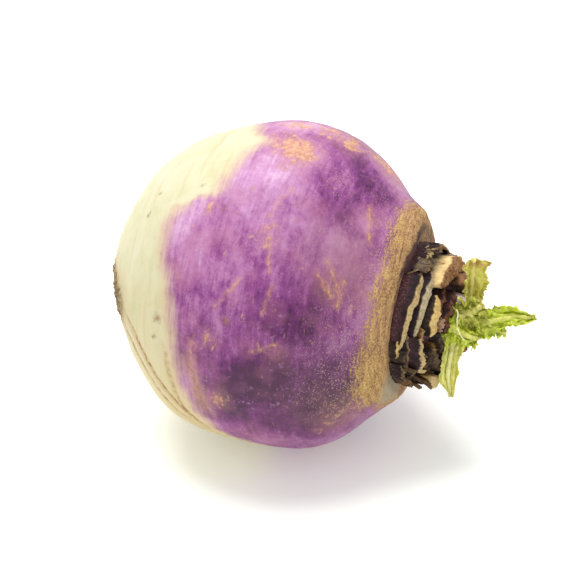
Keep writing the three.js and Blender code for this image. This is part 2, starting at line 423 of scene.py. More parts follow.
skinLook = {
    # where the purple ends: angle from the top towards the front, and mm along the axis
    "edge": [(0, -5), (8, -1), (16, -4), (27, -6.4), (33, -6.8), (38, -16.2), (44, -18.6), (52, -18.4),
             (65, -15.7), (81, -13), (101, -11.4), (113, -8), (125, -4), (137, 5), (165, 3), (200, -6),
             (235, -13), (270, -7), (300, 1), (325, -3), (345, -9), (360, -5)],
    "edgeSpan": 40,
    "bumpStrength": 0.45,
    "bumpDepth": 0.5 * mm,
    "constants": {"Subsurface Weight": 0.08, "Subsurface Radius": (0.003, 0.0016, 0.001),
                  "Subsurface Scale": 0.4, "Specular IOR Level": 0.28},
    # lighter and darker places: along, angle, reach, amount; the lighter ones at (-1, 28), (-10, 46) and
    # (-8.5, 43) are painted highlight, the others the skin's own tone
    "light": [(-8.5, 43, 7, 0.26), (-1, 54, 8, 0.16), (17.5, 63, 8, 0.12), (28, 9, 6, 0.12),
              (2.5, -10, 9, 0.45), (-1, 28, 23, 0.27), (-10, 46, 16, 0.36), (27.5, 22, 4.5, 0.3),
              (9, 8, 11, 0.12), (-9, 100, 7, 0.2), (0, -100, 22, 0.3), (4, 165, 18, 0.2)],
    "deep": [(9, 67, 9, 0.15), (2, 88, 9, 0.13), (24, 27, 7, 0.24), (27, 98, 6, 0.12),
             (11.5, 103, 7, 0.1), (17, 72, 23, 0.31), (8, 98, 27, 0.52), (24, 108, 24, 0.5),
             (26.5, 2, 10, 0.43), (19.5, -2, 8, 0.3), (14, 52, 10, 0.12), (18, -70, 20, 0.4),
             (14, 200, 24, 0.4), (22, -130, 18, 0.3)],
    # tan, corky patches
    "tan": [(2.5, -10, 8, 1.0), (7, 9, 9, 1.45), (3, 5, 8, 0.9), (14, -14, 12, 1.1),
            (24, -22, 10, 1.15), (29, 18, 4, 0.7), (8, 46, 4.5, 0.6), (-3, 81, 5, 0.65),
            (-1, 104, 6, 0.7), (27, 123, 12, 0.66), (13, 83, 4, 0.5), (24, 58, 6, 0.55),
            (-14, 62, 4, 0.4), (-8, 37, 3.5, 0.6), (31, 60, 6, 0.6), (2, -90, 10, 0.8),
            (18, 165, 11, 0.8), (20, -60, 9, 0.7), (-4, 215, 9, 0.7)],
    # thin tan scratches: from and to (along, angle), width in mm
    "scratches": [((20.5, 53), (24.5, 61), 0.26), ((22, 47), (26, 58), 0.3),
                  ((26.5, 53), (26, 64), 0.26), ((22, 56), (25, 63), 0.2), ((24, 52), (26, 61), 0.2),
                  ((6.6, 38), (9.4, 26), 0.22), ((5.6, 43), (8.4, 40), 0.25), ((8, 44), (9.6, 56), 0.2),
                  ((27.4, 14), (30, 30), 0.3), ((13.5, 80), (8, 83), 0.2), ((3, 60), (-2, 70), 0.2),
                  ((-7.4, 84), (-6.6, 105), 0.4), ((11, 60), (9.5, 70), 0.18),
                  ((6, -80), (14, -95), 0.3), ((8, 175), (15, 190), 0.3)],
    "spots": [(-4.3, 38, 0.9), (1, 74, 1.3), (-18.3, 87, 0.7), (-26, 40, 1.1), (-24.6, 30, 0.8),
              (-11.9, 30, 0.7), (-17.7, 79, 1.5), (27, 112, 0.9), (-20, -40, 0.9), (-12, -130, 1.2)],
}


def edgeRamp(angle):
    # the purple's edge as a curve round the root
    span = skinLook["edgeSpan"]
    stops = []
    for turn, along in skinLook["edge"]:
        level = (along + span / 2) / span
        stops.append((turn / 360, (level, level, level, 1)))
    turned = ((angle + 720) / 360).maths("FRACT")
    return turned.ramp(stops) * span - span / 2


def blobs(p, places):
    total = None
    for along, angle, reach, amount in places:
        spot = p.near(placeMm(along, angle), reach, 0.95) * amount
        total = spot if total is None else total.maths("MAXIMUM", spot)
    return total


def scratchLine(p, start, end, width):
    # one inside a thin line between two places, nothing outside it
    a, b = Vector(placeMm(*start)), Vector(placeMm(*end))
    away = p.vector("SUBTRACT", tuple(a))
    share = (away.vector("DOT_PRODUCT", tuple(b - a), "Value") / (b - a).length_squared).clamp()
    nearest = p.make("ShaderNodeCombineXYZ", None, {i: share * (b - a)[i] for i in range(3)})
    distance = away.vector("DISTANCE", nearest, "Value")
    haze = 0.4 - 0.4 * distance.smooth(width, width * 6)
    return (1 - distance.smooth(width * 0.6, width * 1.7)).maths("MAXIMUM", haze)


def skinGround(p):
    # measures, noises and the first relief that all the parts of the skin share
    skin = SimpleNamespace(p=p)
    skin.x, y, skin.z = p.split()
    skin.angle = (-y).maths("ARCTAN2", skin.z) * (180 / math.pi)  # degrees from the top to the front
    skin.out = (y * y + skin.z * skin.z).maths("SQRT")
    skin.ringLines = p.scaled((1.0, 0.1, 0.1))  # long thin marks that run round the root
    skin.brush = skin.ringLines.noise(1.1, 5, 0.62)
    skin.mottle = p.scaled((1, 0.55, 0.55)).noise(0.3, 5, 0.6, 0.5)
    skin.cloud = p.noise(0.08, 3, 0.5, 0.3)
    skin.broken = p.noise(0.9, 4, 0.65)
    # marks are measured on a ball, and wander a little
    evenBall = p.vector("NORMALIZE").scaled((rootRadius,) * 3)
    shake = p.noise(0.55, 3, 0.6, output="Color").vector("SUBTRACT", (0.5, 0.5, 0.5))
    shake = shake.scaled((3.2, 3.2, 3.2))
    skin.ball = evenBall.vector("ADD", shake)
    skin.calmBall = evenBall.vector("ADD", shake.scaled((0.62, 0.62, 0.62)))
    skin.rough = 0.4 + 0.14 * skin.cloud
    skin.height = skin.mottle * 0.5 + skin.brush * 0.35
    return skin


def creamEnd(skin):
    cream = (skin.cloud * 0.6 + skin.mottle * 0.4).ramp(shades(
        (0.32, 184, 178, 138), (0.48, 194, 189, 156), (0.64, 198, 194, 166)))
    ageing = skin.ringLines.noise(0.4, 5, 0.6).smooth(0.54, 0.72)
    cream = cream.paint(tint(184, 166, 120), ageing * 0.5)
    cream = cream.paint(tint(172, 178, 128), skin.p.noise(0.09, 2).smooth(0.55, 0.75) * 0.4)
    cream = cream.paint(tint(190, 162, 106), (-skin.z).smooth(-28, 30) * 0.6)  # yellower low down
    return cream.paint(tint(160, 150, 116), skin.p.noise(1.3, 2).smooth(0.66, 0.74) * 0.3)


def purpleShoulder(skin):
    p, ball, mottle = skin.p, skin.ball, skin.mottle
    # the lighter places are partly painted highlight on the upper front and partly the skin's own paler
    # tone
    tone = 0.52 + blobs(ball, skinLook["light"]) - blobs(ball, skinLook["deep"])
    tone = tone + 0.9 * (skin.cloud - 0.5) + 0.8 * (mottle - 0.5) + 0.5 * (skin.brush - 0.5)
    tone = tone + 0.34 * (p.noise(2.4, 3, 0.6) - 0.5) + 0.4 * (p.noise(0.7, 4, 0.6) - 0.5)
    shoulder = tone.clamp().ramp(shades(
        (0.0, 66, 18, 62), (0.2, 96, 32, 92), (0.42, 132, 66, 125), (0.62, 160, 103, 148),
        (0.8, 174, 122, 164), (1.0, 190, 150, 182)))
    rosy = p.noise(0.13, 3).smooth(0.45, 0.65)
    shoulder = shoulder.paint(tint(158, 96, 122), rosy * 0.28)
    dusk = ball.near(placeMm(26, 45), 20, 0.95) * (0.15 + 0.6 * mottle)
    shoulder = shoulder.paint(tint(140, 98, 106), dusk)
    olive = ball.near(placeMm(24, 108), 27, 0.9) * (0.4 + 0.4 * mottle)
    shoulder = shoulder.paint(tint(74, 44, 58), olive)
    pale = p.noise(0.85, 4, 0.55, 0.6).smooth(0.56, 0.7) * p.noise(0.15, 2).smooth(0.42, 0.6)
    return shoulder.paint(tint(176, 130, 166), pale * 0.4)


def tanMarks(skin, colour):
    # corky tan patches, scratches and small scuffs
    p = skin.p
    patches = blobs(skin.ball, skinLook["tan"])
    crackle = p.scaled((1, 0.6, 0.6)).noise(0.4, 8, 0.72, 0.7)
    tan = (1.5 * crackle - 0.25 + 0.28 * patches).smooth(0.64, 0.86)
    tanColour = p.noise(0.9, 4, 0.7).ramp(shades((0.35, 168, 116, 92), (0.6, 204, 160, 124)))
    colour = colour.paint(tanColour, tan * 0.85).paint(tanColour, patches.clamp() * 0.26)
    gaps = 0.25 + 0.75 * skin.broken.smooth(0.38, 0.6)
    scratches = None
    for start, end, width in skinLook["scratches"]:
        line = scratchLine(skin.calmBall, start, end, width) * gaps
        scratches = line if scratches is None else scratches.maths("MAXIMUM", line)
    small = p.scaled((0.5, 1, 1)).noise(1.3, 4, 0.6, 1.6)
    scuffs = small.smooth(0.66, 0.72) * p.noise(0.12, 2).smooth(0.5, 0.6)
    marks = scratches.maths("MAXIMUM", scuffs * 0.7)
    skin.rough = skin.rough + 0.2 * tan
    skin.height = skin.height + tan * crackle * 0.5 + marks * 0.3
    return colour.paint(tint(198, 146, 102), marks * 0.78)


def speckles(skin, colour):
    # pale speckles that thicken towards the collar and underneath
    p = skin.p
    dots = 1 - p.cells(0.95).smooth(0.1, 0.26)
    specks = 1 - p.cells(1.9).smooth(0.16, 0.36)
    dense = skin.x + 10 * p.near(placeMm(26, 95), 28, 0.95) - 4 - 12 * p.noise(0.07, 2)
    dense = dense.smooth(6, 27).maths("MAXIMUM", 0.8 * p.near(placeMm(18, 14), 8, 0.9))
    dense = dense * p.noise(0.3, 3).smooth(0.3, 0.52)
    skin.height = skin.height + (dots + specks) * dense * 0.25
    return colour.paint(tint(186, 146, 138), (dots * 0.5 + specks * 0.8) * dense)


def corkCollar(skin, colour):
    # its tan grains are scattered over the purple before it closes up, and the crown inside it is plum
    p, x = skin.p, skin.x
    grain = p.noise(2.1, 5, 0.72)
    rings = p.scaled((1.6, 0.22, 0.22)).noise(1.0, 5, 0.65)
    reach = x + 5 * (p.noise(0.14, 4, 0.6) - 0.5) + 2.5 * skin.ball.near(placeMm(30, 105), 18, 0.9)
    collar = reach.smooth(25.5, 36.5) + 1.5 * (grain - 0.5) + 0.9 * (rings - 0.5)
    collar = collar.smooth(0.42, 0.7) * skin.out.smooth(14, 17)
    cork = (grain * 0.62 + rings * 0.38).ramp(shades(
        (0.36, 84, 54, 40), (0.45, 144, 106, 62), (0.54, 188, 152, 90), (0.66, 214, 186, 130)))
    colour = colour.paint(cork, collar * 0.9)
    inner = (x + 1.6 * (p.noise(0.7, 4) - 0.5)).smooth(34.9, 35.8) * (1 - skin.out.smooth(20.5, 22))
    plum = (grain * 0.6 + rings * 0.4).ramp(shades(
        (0.34, 34, 16, 22), (0.5, 66, 34, 42), (0.6, 100, 66, 66), (0.72, 134, 108, 92)))
    colour = colour.paint(plum, inner * 0.95)
    skin.collar = collar
    skin.height = skin.height + collar * (grain * 1.6 + rings) * 1.5
    ashen = p.near(tuple(onRing(36.4, 132, 20)), 9, 0.6) * p.noise(0.5, 3).smooth(0.3, 0.5)
    return colour.paint(tint(150, 142, 122), ashen * 0.85)


def tailBark(skin, colour):
    # bark over the taproot scar, in two patches that run together
    p = skin.p
    fromScar = p.vector("SUBTRACT", tuple(scarPaint * 41)).scaled((1, 1, rootShape["uprightSquash"]))
    away = fromScar.vector("LENGTH", None, "Value") + 6 * (p.noise(0.28, 5, 0.68) - 0.5)
    between = (scarWay + scarPaint).normalized() * 41
    tip = p.vector("DISTANCE", tuple(between), "Value") + 6 * (p.noise(0.33, 5, 0.68) - 0.5)
    bark = p.noise(0.8, 7, 0.75, 0.8).ramp(shades(
        (0.32, 36, 26, 18), (0.45, 84, 66, 42), (0.56, 140, 116, 78), (0.72, 186, 168, 128)))
    scarred = (1 - away.smooth(7.5, 12.5)).maths("MAXIMUM", 1 - tip.smooth(8, 12))
    skin.rough = skin.rough + 0.36 * skin.collar.maths("MAXIMUM", scarred)
    skin.height = skin.height + scarred * p.noise(1.1, 5) * 1.8
    colour = colour.paint(tint(172, 140, 96), (1 - tip.smooth(10, 18)) * 0.4)
    colour = colour.paint(tint(172, 140, 96), (1 - away.smooth(10, 18)) * 0.5)
    return colour.paint(bark, scarred * 0.92)


def creaseLines(skin, colour):
    # a brown line with a tan border in each tail crease
    for crease in tailCreases:
        (alongA, angleA), (alongB, angleB) = crease["from"], crease["to"]
        share = (skin.angle - angleA + 540).maths("MODULO", 360) - 180
        share = share / wrap(angleB - angleA)
        line = skin.x - alongA - share * (alongB - alongA) + 2.4 * (skin.p.noise(0.22, 4) - 0.5)
        line = line.maths("ABSOLUTE")
        ends = share.smooth(-0.1, 0.2) * (1 - share.smooth(0.7, 1.12)) * crease["tone"]
        border = 1 - line.smooth(0.4, crease["width"] * 3)
        colour = colour.paint(tint(182, 148, 98), border * ends * 0.6)
        middle = 1 - line.smooth(0.2, crease["width"] * 1.2)
        colour = colour.paint(tint(124, 84, 48), middle * (ends * skin.broken.smooth(0.38, 0.58)))
    return colour


def brownSpots(skin, colour):
    ragged = 0.4 + 0.6 * skin.broken.smooth(0.4, 0.6)
    for along, where, size in skinLook["spots"]:
        mark = skin.ball.near(placeMm(along, where), size * 1.3, 0.8) * ragged
        colour = colour.paint(tint(122, 82, 54), mark * 0.75)
    return colour


def skinMaterial():
    material, surface, p = newMaterial("turnipSkin")
    skin = skinGround(p)
    # where purple meets cream
    wander = skin.angle + 9 * (p.noise(0.16, 4, 0.6) - 0.5)
    edge = edgeRamp(wander) + 4.5 * (p.noise(0.22, 5, 0.62) - 0.5) + 4 * (skin.brush - 0.5)
    into = skin.x - edge
    blush = into.smooth(-4.5, 0.5) * (1 - into.smooth(1.5, 6))
    colour = creamEnd(skin).paint(tint(192, 158, 134), blush * (0.35 + 0.6 * skin.broken))
    shoulder = speckles(skin, tanMarks(skin, purpleShoulder(skin)))
    colour = colour.paint(shoulder, into.smooth(-2.6, 3.4))
    for lay in (corkCollar, tailBark, creaseLines, brownSpots):
        colour = lay(skin, colour)
    dress(surface, colour, skin.rough.clamp(), skin.height, skinLook["bumpStrength"],
          skinLook["bumpDepth"])
    for name, value in skinLook["constants"].items():
        surface.inputs[name].default_value = value
    return material


turnipRoot = buildRoot()
turnipRoot.data.materials.clear()
turnipRoot.data.materials.append(skinMaterial())
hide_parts("root")
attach(turnipRoot, "root")
print("root:", len(turnipRoot.data.polygons), "faces")


# the crown: torn leaf bases and petiole stubs

crownDrop = Vector((0, 0, crownCentre.z - bodyCentre.z))


def measureNode(name):
    # where a CAD piece stands on the crown: middle angle, half its span, how far out, foot and top
    cad = frame["nodes"][name]
    places = [onAxis(cad.matrix_world @ vertex.co - crownDrop) for vertex in cad.data.vertices]
    east = sum(math.sin(math.radians(angle)) for along, angle, out in places)
    north = sum(math.cos(math.radians(angle)) for along, angle, out in places)
    middle = math.degrees(math.atan2(east, north))
    halfSpan = max(abs(wrap(angle - middle)) for along, angle, out in places)
    alongs = [along - creaseAlong for along, angle, out in places]
    outs = [out for along, angle, out in places]
    return middle, halfSpan, (max(outs) + min(outs)) / 2, min(alongs), max(alongs)


def onCrown(along, angle, out):
    return bodyCentre + mm * onRing(along + creaseAlong, angle, out) + crownDrop


def foldedGrid(name, across, around):
    # a flat grid whose two long sides meet again once it is folded into a shell
    deselectAll()
    bpy.ops.mesh.primitive_grid_add(x_subdivisions=across, y_subdivisions=around, size=2)
    grid = bpy.context.object
    grid.name = name
    return grid


def closeShell(shell):
    pick(shell)
    bpy.ops.object.mode_set(mode="EDIT")
    bpy.ops.mesh.select_all(action="SELECT")
    bpy.ops.mesh.remove_doubles(threshold=0.000004)
    bpy.ops.mesh.normals_make_consistent(inside=False)
    bpy.ops.object.mode_set(mode="OBJECT")
    bpy.ops.object.shade_smooth()


def torn(look, cut, ragged, thick, flare, **more):
    # cut: how far the torn face slants down from the inside to the outside, ragged: how uneven the tear is,
    # thick: the wall, flare: how far the rim leans out, all in mm
    return {"look": look, "cut": cut, "ragged": ragged, "thick": thick, "flare": flare, **more}


# lower: how much is torn off below the full height, lift and outwards: moved up and away from the heart,
# slant: how much the rim drops towards its second end, all in mm, turn: degrees, wider: of the span
leafBases = {
    "outer_base_1": torn("outerRim", 0.9, 0.55, 1.5, -0.8, lower=2.5, slant=-1.3),
    "outer_base_2": torn("outerRim", 0.6, 1.2, 1.4, -1.2, lower=2.6),
    "outer_base_3": torn("darkScale", 0.5, 2.6, 1.0, -0.1, lower=2.4, lift=2.2, wider=0.95),
    "outer_base_4": torn("darkScale", 0.8, 1.2, 1.2, -0.8, lower=0.8),
    "outer_base_5": torn("outerRim", 0.9, 0.9, 1.4, -0.4, lower=1.0),
    "middle_base_1": torn("greyRim", 1.0, 0.6, 1.8, -0.3, lower=2.9, slant=-0.7),
    "middle_base_2": torn("outerRim", 0.6, 1.3, 1.1, -0.4, lower=2.8, lift=1.2, slant=-1.4),
    "middle_base_3": torn("darkScale", 0.9, 1.4, 1.3, -0.4, lower=0.6),
    "middle_base_4": torn("greyRim", 1.2, 0.9, 1.6, -0.2, lower=0.5),
    "middle_base_5": torn("outerRim", 0.6, 1.8, 1.2, -0.8, lower=2.2),
    "inner_base_1": torn("paleStub", 1.8, 1.0, 4.0, 0.8, lower=1.2, turn=-7, wider=1.4, outwards=1.8),
    "inner_base_2": torn("yellowRim", 1.3, 0.5, 2.3, 0.4, lower=1.6, turn=-4, wider=0.7),
    "inner_base_3": torn("darkScale", 0.8, 1.5, 1.2, -0.4, lower=0.3),
    "inner_base_4": torn("darkScale", 1.0, 1.3, 1.6, 0.0, lower=0.0),
    "inner_base_5": torn("greyScale", 1.1, 1.0, 1.8, 0.2, lower=0.0),
    "petiole_stub_1": torn("cavity", 0.8, 1.1, 1.3, 0.4, lower=1.4),
    "petiole_stub_2": torn("brownStub", 1.4, 1.4, 3.0, 1.2, lower=-0.2, turn=12, wider=1.0, outwards=2.2),
    "petiole_stub_3": torn("darkScale", 0.9, 1.0, 1.6, 0.4, lower=0.0),
    "petiole_stub_4": torn("brownStub", 1.2, 1.1, 2.0, 0.3, lower=0.0),
}

# thin slivers torn from the same bases, with place as middle angle, half span, radius, foot and top
slivers = [
    torn("brownRim", 0.3, 1.7, 0.7, 0.0, place=(28, 20, 16.8, 0.6, 3.4)),
    torn("greyScale", 0.3, 1.6, 0.9, -0.3, place=(16, 8, 17.6, 0.2, 4.8)),
    torn("yellowRim", 0.6, 0.3, 1.2, 0.5, place=(90, 8, 18.5, -0.4, 1.9)),
    torn("brownRim", 0.3, 0.9, 0.8, -0.4, place=(96, 26, 16.7, 0.4, 3.3)),
    torn("brownRim", 0.3, 1.8, 0.9, 0.4, place=(-30, 14, 15.0, 2.0, 8.2)),
    torn("brownRim", 0.3, 1.9, 0.8, 0.3, place=(-14, 9, 17.4, 0.4, 5.4)),
    torn("outerRim", 0.3, 1.9, 0.8, 0.5, place=(4, 7, 17.8, 0.2, 4.2)),
    torn("cavity", 0.5, 0.8, 1.2, 0.2, place=(40, 26, 10.6, 5.0, 9.4)),
    torn("pinkScale", 0.6, 0.8, 1.4, 0.8, place=(70, 12, 9.0, 6.0, 10.6)),
    torn("darkScale", 0.3, 1.6, 0.8, 0.3, place=(140, 22, 13.8, 2.6, 7.2)),
    torn("amberScale", 0.3, 1.2, 0.9, 0.6, place=(112, 16, 10.6, 5.2, 8.8)),
    torn("amberScale", 0.3, 0.9, 0.9, 0.2, place=(88, 18, 14.0, 3.2, 6.4)),
    torn("paleCone", 1.2, 0.5, 3.0, 1.8, place=(146, 13, 15.2, 3.6, 9.8)),
    torn("darkScale", 0.3, 2.2, 0.8, 0.8, place=(168, 12, 16.8, 0.6, 6.4)),
    torn("peatScale", 0.3, 1.4, 0.7, 1.4, place=(142, 7, 17.0, 0.4, 4.8)),
    torn("peatScale", 0.3, 1.6, 0.7, 2.4, place=(134, 6, 16.0, 2.4, 8.2)),
    torn("darkScale", 0.4, 1.8, 0.8, 0.8, place=(118, 20, 12.4, 4.4, 8.4)),
    torn("peatScale", 0.4, 1.8, 0.7, 0.4, place=(106, 14, 14.4, 2.4, 6.4)),
    torn("darkScale", 0.3, 1.5, 0.8, 0.2, place=(-100, 22, 13.6, 3.0, 9.0)),
    torn("brownRim", 0.3, 1.5, 0.8, 0.2, place=(-60, 18, 16.8, 0.8, 6.4)),
    torn("darkScale", 0.3, 1.5, 0.8, 0.3, place=(215, 20, 13.8, 3.0, 8.8)),
    torn("brownRim", 0.3, 1.6, 0.8, 0.4, place=(112, 9, 18.7, -0.2, 3.0)),
    torn("peatScale", 0.3, 1.9, 0.7, 0.6, place=(126, 8, 18.4, -0.2, 3.8)),
    torn("pinkChip", 0.8, 0.6, 1.0, 0.5, place=(15, 15, 7.4, 7.6, 14.2)),
    torn("cavity", 0.5, 0.8, 1.2, 0.5, place=(70, 62, 5.0, 7.6, 12.8)),
    torn("amberScale", 0.8, 1.0, 1.3, 0.8, place=(190, 60, 5.2, 7.6, 13.2)),
    torn("paleStub", 0.8, 1.0, 1.3, 0.8, place=(-60, 56, 4.6, 8.0, 13.6)),
    torn("paleCone", 0.6, 0.7, 1.2, 0.5, place=(130, 40, 2.8, 9.4, 14.0)),
    torn("paleCone", 0.6, 0.7, 1.2, 0.4, place=(-30, 44, 2.6, 9.4, 13.4)),
]


# how a section of a leaf base is folded out of a strip that runs up, over the tear and down again
baseShape = {"outsideTo": 0.4, "tearTo": 0.56, "insideTo": 0.94, "buried": 1.2, "edgeThick": 0.12,
             "fibre": 0.26, "fineFibre": 0.1, "wave": 0.75}


def baseSection(spec, place, u, s, seed):
    # one point of a leaf base: u goes across it, s goes up the outside, over the tear and down the inside
    middle, halfSpan, radius, foot, top = place
    top -= spec.get("lower", 0)
    middle += spec.get("turn", 0)
    halfSpan *= spec.get("wider", 1)
    radius += spec.get("outwards", 0)
    thin = math.sqrt(max(1 - u * u, 0))
    edge = baseShape["edgeThick"]
    thick = spec["thick"] * (edge + (1 - edge) * thin) if abs(u) < 1 else 0
    buried, upTo = baseShape["buried"], baseShape["outsideTo"]
    overTo, downTo = baseShape["tearTo"], baseShape["insideTo"]
    tear = noise.fractal(Vector((u * 3.2 + seed, seed * 1.7, 0)), 0.85, 2.3, 5)
    rim = top - (top - foot) * 0.3 * u ** 4 + spec["ragged"] * tear + spec.get("slant", 0) * u
    rim = max(rim, foot + buried)
    cut = min(spec["cut"] * thin, rim - foot - 0.8)
    foot -= buried
    if s < upTo:
        share = s / upTo
        side, along = 1, mix(foot, rim - cut, share)
    elif s < overTo:
        share = (s - upTo) / (overTo - upTo)
        side, along = 1 - 2 * share, mix(rim - cut, rim, share)
        along += 0.28 * noise.noise(Vector((u * 16, share * 3, seed + 9))) * math.sin(math.pi * share)
    elif s < downTo:
        share = (s - overTo) / (downTo - overTo)
        side, along = -1, mix(rim, foot, share)
    else:
        side, along = -1 + 2 * (s - downTo) / (1 - downTo), foot
    rise = max(along - foot, 0) / (top - foot + buried)
    fibre = baseShape["fibre"] * noise.noise(Vector((u * 14, rise * 1.6, seed + 3)))
    fibre += baseShape["fineFibre"] * noise.noise(Vector((u * 38, rise * 3, seed)))
    wave = baseShape["wave"] * noise.noise(Vector((u * 2.6, rise * 1.8, seed + 5)))
    uneven = (fibre * side + wave) * min(1, 0.2 + rise)
    out = radius + side * thick / 2 + uneven + spec["flare"] * rise ** 2
    angle = middle + halfSpan * u + 2.2 * noise.noise(Vector((rise * 2, u * 2, seed + 12)))
    return onCrown(along, angle, max(out, 0.5)) + Vector((0, 0, spec.get("lift", 0) * mm))


def buildBase(name, spec, place, seed):
    across, around = ((60, 44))
    shell = foldedGrid(name, across, around)
    for vertex in shell.data.vertices:
        u, s = vertex.co.x, (vertex.co.y + 1) / 2
        u = math.copysign(1 - (1 - abs(u)) ** 1.25, u)  # finer towards the two thin edges
        if abs(vertex.co.x) >= 0.9999:
            u = math.copysign(1, u)
        vertex.co = baseSection(spec, place, u, s % 1, seed)
    closeShell(shell)
    shell.data.materials.append(crownLooks[spec["look"]])
    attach(shell, "root")
    return shell


def baseMaterial(name, skin, tear, inner, root=tint(40, 28, 26), roughness=0.75):
    # skin: colours outside, tear: of the torn face, inner: of the hollow side, root: of the lowest part
    tearFrom, tearTo = 0.385, 0.57
    material, surface, p = newMaterial(name)
    uv = p.make("ShaderNodeTexCoord", output="UV")
    s = uv.split()[1]
    fibres = uv.scaled((22, 3.5, 1)).noise(1, 6, 0.7, 0.6)
    blotch = p.noise(0.55, 4, 0.6)
    outer = (fibres * 0.55 + blotch * 0.45).ramp(skin)
    wobble = 0.05 * (uv.scaled((18, 9, 1)).noise(1, 4, 0.65) - 0.5)
    shifted = s + wobble
    onTear = shifted.smooth(tearFrom - 0.03, tearFrom + 0.02)
    onTear = onTear * (1 - shifted.smooth(tearTo - 0.01, tearTo + 0.035))
    pale = (p.noise(1.6, 5, 0.7) * 0.6 + fibres * 0.4).ramp(tear)
    inside = shifted.smooth(tearTo, tearTo + 0.09)
    colour = outer.paint(inner, inside * 0.85).paint(pale, onTear)
    foot = (1 - (s + 3 * wobble).smooth(0.1, 0.3)) * (0.35 + 1.3 * p.noise(1.1, 4, 0.7))
    speck = p.noise(2.6, 4, 0.7).smooth(0.5, 0.66)
    foot = foot.clamp() * 0.9
    colour = colour.paint(root, foot).paint(tint(158, 120, 112), foot * speck * 0.5)
    grooves = fibres * 0.8 + p.noise(2.2, 4, 0.7) * 0.5
    dress(surface, colour, roughness + 0.12 * (blotch - 0.5), grooves, 0.6, 0.4 * mm)
    surface.inputs["Specular IOR Level"].default_value = 0.3
    return material


maroon = shades((0.38, 14, 6, 9), (0.48, 30, 12, 18), (0.58, 54, 26, 34), (0.7, 88, 58, 58))
peat = shades((0.38, 15, 10, 8), (0.48, 32, 21, 14), (0.58, 58, 40, 25), (0.7, 94, 70, 45))
crownLooks = {
    "greyRim": baseMaterial("greyRimmedBase", maroon,
        shades((0.36, 112, 96, 70), (0.48, 164, 146, 112), (0.62, 192, 178, 146)),
        tint(16, 8, 12), root=tint(16, 8, 10)),
    "outerRim": baseMaterial("outerRimmedBase", maroon,
        shades((0.36, 112, 88, 56), (0.48, 172, 144, 96), (0.62, 200, 178, 128)),
        tint(16, 8, 12), root=tint(66, 29, 36)),
    "cavity": baseMaterial("darkHeartScale",
        shades((0.36, 26, 12, 14), (0.5, 50, 24, 26), (0.62, 84, 46, 40), (0.74, 120, 80, 56)),
        shades((0.36, 50, 26, 22), (0.5, 92, 54, 38), (0.66, 146, 104, 66)),
        tint(30, 12, 16)),
    "peatScale": baseMaterial("brownTornScale",
        shades((0.36, 40, 26, 14), (0.47, 74, 50, 28), (0.57, 108, 78, 44), (0.7, 146, 112, 70)),
        shades((0.36, 60, 42, 24), (0.52, 104, 78, 46), (0.68, 150, 122, 80)),
        tint(28, 18, 12)),
    "pinkChip": baseMaterial("pinkishWhiteChip",
        shades((0.36, 150, 118, 104), (0.5, 196, 168, 160), (0.66, 222, 204, 200)),
        shades((0.36, 190, 164, 158), (0.52, 216, 198, 196), (0.68, 232, 222, 222)),
        tint(120, 80, 74)),
    "pinkScale": baseMaterial("pinkishScale",
        shades((0.36, 132, 92, 66), (0.47, 170, 128, 98), (0.57, 196, 160, 128), (0.7, 214, 188, 160)),
        shades((0.36, 150, 104, 80), (0.52, 190, 150, 124), (0.68, 216, 190, 166)),
        tint(70, 38, 30)),
    "brownRim": baseMaterial("brownRimmedBase", maroon,
        shades((0.36, 66, 48, 34), (0.5, 110, 88, 60), (0.66, 146, 122, 86)),
        tint(22, 12, 14)),
    "yellowRim": baseMaterial("yellowRimmedBase", peat,
        shades((0.36, 166, 128, 72), (0.5, 204, 172, 106), (0.66, 222, 198, 138)),
        tint(46, 20, 26)),
    "darkScale": baseMaterial("darkTornScale", peat,
        shades((0.36, 42, 30, 20), (0.52, 84, 62, 40), (0.68, 132, 106, 72)),
        tint(20, 13, 12)),
    "greyScale": baseMaterial("greyTornScale",
        shades((0.36, 50, 38, 34), (0.47, 88, 72, 58), (0.57, 126, 108, 82), (0.7, 160, 142, 108)),
        shades((0.36, 70, 50, 36), (0.52, 124, 98, 66), (0.68, 170, 146, 102)),
        tint(36, 20, 22)),
    "amberScale": baseMaterial("amberScale",
        shades((0.36, 58, 34, 16), (0.47, 98, 64, 32), (0.57, 136, 96, 50), (0.7, 172, 136, 82)),
        shades((0.36, 110, 78, 44), (0.52, 158, 122, 74), (0.68, 190, 160, 108)),
        tint(44, 26, 16)),
    "paleStub": baseMaterial("paleStubSkin",
        shades((0.34, 148, 106, 70), (0.44, 196, 164, 104), (0.56, 212, 186, 128), (0.72, 222, 204, 160)),
        shades((0.36, 74, 42, 26), (0.5, 122, 80, 46), (0.64, 186, 144, 88)),
        tint(64, 34, 28), roughness=0.6),
    "paleCone": baseMaterial("paleConeSkin",
        shades((0.34, 124, 92, 44), (0.46, 182, 148, 78), (0.58, 212, 188, 122), (0.72, 226, 212, 164)),
        shades((0.36, 160, 126, 76), (0.5, 202, 174, 118), (0.66, 222, 204, 160)),
        tint(90, 64, 36), roughness=0.6),
    "brownStub": baseMaterial("brownWrinkledStub",
        shades((0.36, 62, 36, 20), (0.47, 112, 74, 42), (0.57, 156, 114, 68), (0.7, 192, 154, 104)),
        shades((0.36, 70, 42, 26), (0.5, 124, 84, 50), (0.66, 184, 144, 94)),
        tint(50, 26, 22)),
}

for number, (node, spec) in enumerate(leafBases.items()):
    base = buildBase(node.replace("_", ""), spec, measureNode(node), 3.1 * number + 1)
    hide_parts(node)
for number, spec in enumerate(slivers):
    sliver = buildBase("sliver" + str(number + 1), spec, spec["place"], 2.3 * number + 50)
print("crown:", len(leafBases), "bases and stubs,", len(slivers), "slivers")


# young leaves

